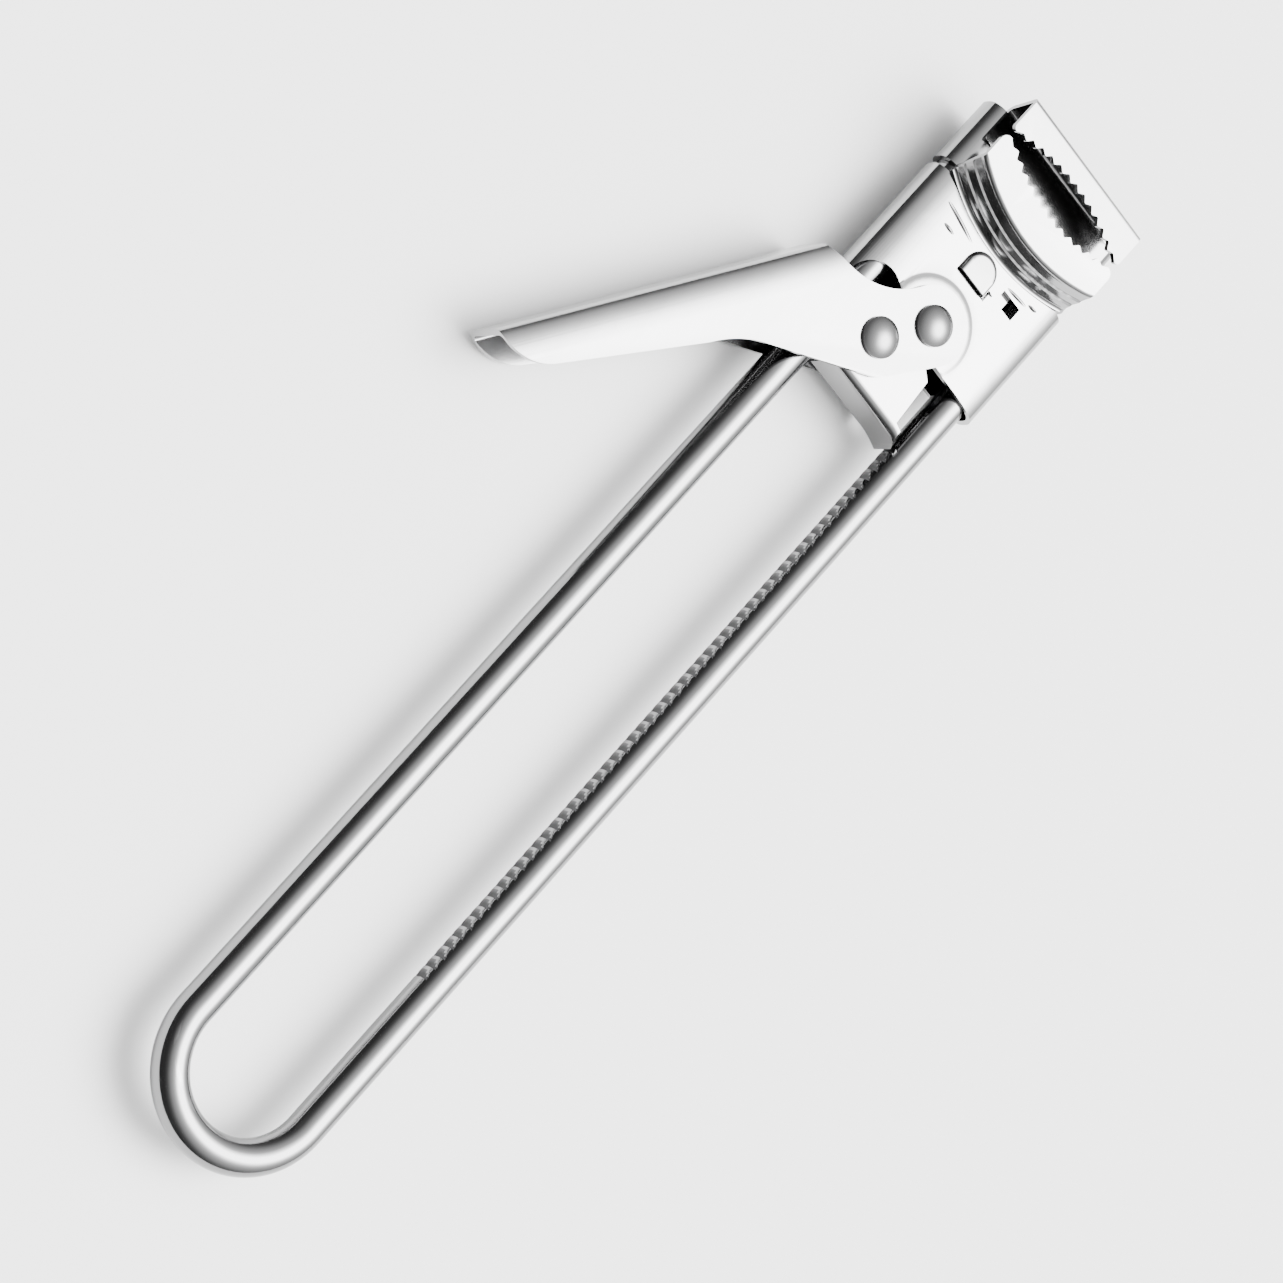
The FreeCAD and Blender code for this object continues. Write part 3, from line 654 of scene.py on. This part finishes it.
def make_sliding_jaw():
    half = 15.3
    floor_top = SLEEVE_RADIUS
    floor_low = floor_top - JAW_SHEET
    radius = WALL_RADIUS - 0.12
    bend = 0.7
    lean = 1.9
    foot = bend - radius
    head = foot + lean
    profile = outline([
        (-radius, floor_low),
        (foot + JAW_SHEET, floor_top + bend, bend + JAW_SHEET, "left"),
        (head + JAW_SHEET, JAW_TOP - JAW_SHEET - 0.1),
        (head + JAW_SHEET + 0.1, JAW_TOP - JAW_SHEET),
        (head + 2.4, JAW_TOP - JAW_SHEET),
        (head + 2.4, JAW_TOP),
        (head + 1.0, JAW_TOP),
        (head, JAW_TOP - 1.0, 1.0, "left"),
        (foot + 1.45, 7.7),
        (foot + 1.1, 7.55),
        (foot + 0.75, 6.0),
        (foot + 0.4, 5.85),
        (foot, floor_top + bend),
        (foot - bend, floor_top, bend, "right"),
    ], 8)
    rings = []
    steps = 40
    for step in range(steps + 1):
        y = -half + 2 * half * step / steps
        rings.append([(WALL_CENTRE_X - math.sqrt(r * r - y * y), y, z) for r, z in profile])
    body = loft("jaw_wall", rings)

    edge = bitten_edge(189.85 + 31.0, 31.0, -1, half)
    rear_radius = -(head + 1.6)
    rear = []
    for step in range(steps + 1):
        y = half - 2 * half * step / steps
        rear.append((WALL_CENTRE_X - math.sqrt(rear_radius ** 2 - y * y), y))
    high = 193.4
    corner = 1.4
    edge = [point for point in edge if point[0] < high and abs(point[1]) < half - corner]
    plate = prism("jaw_plate", [
        *edge,
        (high, half - corner),
        *arc((high, half - corner), (high - corner, half), corner, "left", 6),
        *rear,
        (high - corner, -half),
        *arc((high - corner, -half), (high, -half + corner), corner, "left", 6),
    ], JAW_TOP - JAW_SHEET, JAW_TOP)
    add(body, plate)

    # The tongue lies under the sleeve's panel.
    top = floor_low - 0.1
    low = top - JAW_SHEET
    tongue = box("tongue", (167.6, -7.7, low), (182.35, 7.7, top))
    add(tongue, box("step", (181.55, -7.7, low), (182.35, 7.7, floor_low + 0.4)))
    add(body, tongue)
    return soften(body, EDGE_ROUNDING)


# ---------------------------------------------------------------- the lever and the pawl


def make_lever():
    """The squeeze handle: a channel whose sides are cut to the lever's outline, drawn about the pivot."""
    half = 5.6
    web = 17.0
    sheet = 1.1
    bend = 2.0
    inside = half - sheet
    upper = shoulder((web, half - 2.4), (web - 6.5, half), 2.5)
    lower = [(y, -z) for y, z in reversed(upper)]
    hollow = outline([
        (-12.0, half),
        (-12.0, inside),
        (web - bend, inside),
        (web - sheet, half - bend, bend - sheet, "right"),
        (web - sheet, -half + bend),
        (web - bend, -inside, bend - sheet, "right"),
        (-12.0, -inside),
        (-12.0, -half),
    ])
    channel = along_x("lever_channel", lower + upper + hollow, (-90.0, 12.0))
    ear = 6.6
    boss = 6.3
    link_x, link_y = LINK_IN_LEVER.x, LINK_IN_LEVER.y
    side = prism("lever_side", outline([
        (-16.1, web + 1.0),
        (-77.3, web + 1.0),
        (-77.3, web),
        (-68.9, 9.65, 9.5, "left"),
        (-41.5, 6.75),
        (-32.3, 4.8, 22.0, "right"),
        (link_x - 2.95, link_y - 5.57),
        (link_x - 0.15, link_y - boss, boss, "left"),
        (-0.3, -ear),
        (ear, 0.0, ear, "left"),
        (-0.34, 6.59, ear, "left"),
        (-14.03, 14.1, 14.9, "right"),
        (-16.1, web),
    ], 20), -8.0, 8.0)
    combine(channel, side, "INTERSECT")
    return soften(channel, 0.16)


def make_pawl():
    """A channel drawn about the link rivet. Its web curls to the tip that bites the teeth."""
    web = -7.95
    tip = -16.05
    half = 4.2
    sheet = 1.0
    bend = 1.5
    inside = half - sheet
    section = outline([
        (12.0, half),
        (web + bend, half),
        (web, half - bend, bend, "left"),
        (web, -half + bend),
        (web + bend, -half, bend, "left"),
        (12.0, -half),
        (12.0, -inside),
        (web + bend, -inside),
        (web + sheet, -half + bend, bend - sheet, "right"),
        (web + sheet, half - bend),
        (web + bend, inside, bend - sheet, "right"),
        (12.0, inside),
    ])
    open_side = 10.0
    knee = tip + 4.5
    stations = [8.0, 4.0, 0.0, -4.0, -8.0, knee] + [knee - 5.5 * step / 8 for step in range(1, 9)]
    rings = []
    for y in stations:
        hook = -0.75 * (max(knee - y, 0.0) / 4.5) ** 2
        rings.append([(x + hook if x < open_side else x, y, z) for x, z in section])
    channel = loft("pawl_channel", rings)
    ear = 4.3
    side = prism("pawl_side", outline([
        (web - 3.0, tip),
        (web + 0.85, tip),
        (web + 1.75, tip + 3.35),
        (2.6, -12.0),
        (4.2, -9.6),
        (ear - 0.3, -1.6),
        (ear, 0.0, ear, "left"),
        (0.0, ear, ear, "left"),
        (web + 1.0, 3.4),
        (web, 2.4),
        (web - 3.0, 2.4),
    ]), -8.0, 8.0)
    combine(channel, side, "INTERSECT")
    nip = loft("pawl_nip", [
        [(x, tip - 1.0, 0.6), (x, tip + 2.3, half + 0.6), (x, tip - 1.0, half + 0.6)]
        for x in (-20.0, 20.0)
    ])
    cut(channel, nip)
    return soften(channel, 0.14)


# ---------------------------------------------------------------- rivets, spacer and spring


def make_rivet(name, seat):
    """A rivet with a dome at both ends. seat is the height of the sheet that the dome stands on."""
    head = 3.4
    rim = seat + 0.5
    rise = 1.15
    dome = (head ** 2 + rise ** 2) / (2 * rise)
    profile = [(0.0, 0.0), (2.0, 0.0), (2.0, seat), (head - 0.12, seat), (head, seat + 0.12)]
    edge = math.asin(head / dome)
    steps = 14
    for step in range(steps):
        angle = edge * (1 - step / steps)
        profile.append((dome * math.sin(angle), rim + rise - dome * (1 - math.cos(angle))))
    profile.append((0.0, rim + rise))
    mirrored = [(r, -z) for r, z in reversed(profile)]
    return turned(name, mirrored[:-1] + profile[1:])


def make_spacer():
    inner, outer, half = 2.0, 2.7, SLEEVE_RADIUS - JAW_SHEET
    edge = 0.15
    profile = [
        (inner, -half), (outer - edge, -half), (outer, -half + edge), (outer, half - edge),
        (outer - edge, half), (inner, half), (inner, -half),
    ]
    return turned("spacer", profile)


def make_spring():
    """A torsion spring round the spacer, with one leg under the link rivet and one on the jaw's tongue."""
    radius, wire, height, turns = 3.2, 0.35, 5.2, 4.25
    leg, leg_steps = 12.5, 12
    path = []
    for step in range(leg_steps):
        path.append(Vector((-leg + leg * step / leg_steps, radius, -height / 2)))
    coil_steps = 150
    for step in range(coil_steps + 1):
        angle = math.pi / 2 - 2 * math.pi * turns * step / coil_steps
        z = -height / 2 + height * step / coil_steps
        path.append(Vector((radius * math.cos(angle), radius * math.sin(angle), z)))
    for step in range(1, 7):
        path.append(Vector((radius, -8.0 * step / 6, height / 2)))
    rings = []
    for number, point in enumerate(path):
        before = path[max(number - 1, 0)]
        after = path[min(number + 1, len(path) - 1)]
        way = (after - before).normalized()
        up = Vector((0, 0, 1))
        across = way.cross(up).normalized()
        lift = across.cross(way)
        ring = []
        for step in range(12):
            angle = 2 * math.pi * step / 12
            ring.append(point + across * wire * math.cos(angle) + lift * wire * math.sin(angle))
        rings.append(ring)
    return loft("spring", rings)


# ---------------------------------------------------------------- assembly


rod = finish_piece(make_u_rod(), "u_rod", "frame", ROD_STEEL, smooth=34, weigh=False)
darken_teeth(rod)
finish_piece(make_fixed_jaw(), "fixed_jaw", "frame", SHADED_PLATE_STEEL)
finish_piece(make_slider_sleeve(), "slider_sleeve", "slider", SLEEVE_STEEL)
finish_piece(make_sliding_jaw(), "sliding_jaw", "slider", JAW_STEEL)
finish_piece(make_lever(), "lever", "lever", LEVER_STEEL, IN_LEVER)
finish_piece(make_pawl(), "pawl", "pawl", PAWL_STEEL, AT_LINK)
pivot_rivet = make_rivet("pivot_rivet_piece", 5.65)
finish_piece(pivot_rivet, "pivot_rivet", "slider", RIVET_STEEL, AT_PIVOT, weigh=False)
link_rivet = make_rivet("link_rivet_piece", 5.6)
finish_piece(link_rivet, "link_rivet", "lever", RIVET_STEEL, AT_LINK, weigh=False)
finish_piece(make_spacer(), "pivot_spacer", "slider", SPACER_STEEL, AT_PIVOT, weigh=False)
spring_bend = [tuple(TO_PART @ AT_PIVOT @ Vector((x, 3.2, 0.0))) for x in (-3.5, -9.0)]
spring_bodies = ("slider", "lever", *spring_bend)
spring = make_spring()
finish_piece(spring, "return_spring", spring_bodies, SPRING_STEEL, AT_PIVOT, smooth=60, weigh=False)


# ---------------------------------------------------------------- camera, light and floor

camera_data = bpy.data.cameras.new("camera")
camera_data.lens = 150.16
camera_data.sensor_width = 36.0
camera_data.clip_start = 0.01
camera_data.clip_end = 20.0
camera = bpy.data.objects.new("camera", camera_data)
bpy.context.scene.collection.objects.link(camera)
turn = Euler([math.radians(angle) for angle in CAMERA_TURN]).to_matrix().to_4x4()
camera.matrix_world = Matrix.Translation(CAMERA_PLACE) @ turn
bpy.context.scene.camera = camera

floor = box("floor", (-1500.0, -1500.0, -4.0), (1500.0, 1500.0, -0.02))
floor.data.transform(Matrix.Scale(MILLIMETRE, 4))
pale = bpy.data.materials.new("floor_look")
pale.use_nodes = True
paper = pale.node_tree.nodes["Principled BSDF"]
set_inputs(paper, Base_Color=(0.93, 0.93, 0.93, 1.0), Roughness=0.9, Specular_IOR_Level=0.1)
floor.data.materials.append(pale)

# The studio is dark, with one soft window. The ramp goes from the side facing away from it to its middle.
world = bpy.data.worlds.new("studio")
bpy.context.scene.world = world
world.use_nodes = True
sky = world.node_tree.nodes
direction = sky.new("ShaderNodeTexCoord")
facing = sky.new("ShaderNodeVectorMath")
facing.operation = "DOT_PRODUCT"
facing.inputs[1].default_value = Vector(WINDOW_WAY).normalized()
ramp = sky.new("ShaderNodeValToRGB")
ramp.color_ramp.interpolation = "LINEAR"
ramp.color_ramp.elements[0].position = 0.0
ramp.color_ramp.elements[0].color = (0.003, 0.003, 0.003, 1.0)
ramp.color_ramp.elements[1].position = 0.988
ramp.color_ramp.elements[1].color = (1.0, 1.0, 1.0, 1.0)
for position, value in (
    (0.50, 0.006), (0.62, 0.013), (0.70, 0.028), (0.78, 0.052),
    (0.86, 0.085), (0.91, 0.14), (0.945, 0.28), (0.97, 0.6),
):
    element = ramp.color_ramp.elements.new(position)
    element.color = (value, value, value, 1.0)
background = sky["Background"]
background.inputs["Strength"].default_value = 24.0
links = world.node_tree.links
links.new(direction.outputs["Generated"], facing.inputs[0])
share = sky.new("ShaderNodeMapRange")
set_inputs(share, From_Min=-1.0, From_Max=1.0)
links.new(facing.outputs["Value"], share.inputs["Value"])
links.new(share.outputs["Result"], ramp.inputs["Fac"])
links.new(ramp.outputs["Color"], background.inputs["Color"])

lamp_data = bpy.data.lights.new("soft_box", "AREA")
lamp_data.shape = "RECTANGLE"
lamp_data.size = 0.9
lamp_data.size_y = 0.9
lamp_data.energy = 3.0
lamp = bpy.data.objects.new("soft_box", lamp_data)
bpy.context.scene.collection.objects.link(lamp)
lamp.location = (0.35, -0.45, 0.95)
lamp.rotation_euler = (Vector((0.0, 0.0, 0.0)) - lamp.location).to_track_quat("-Z", "Y").to_euler()
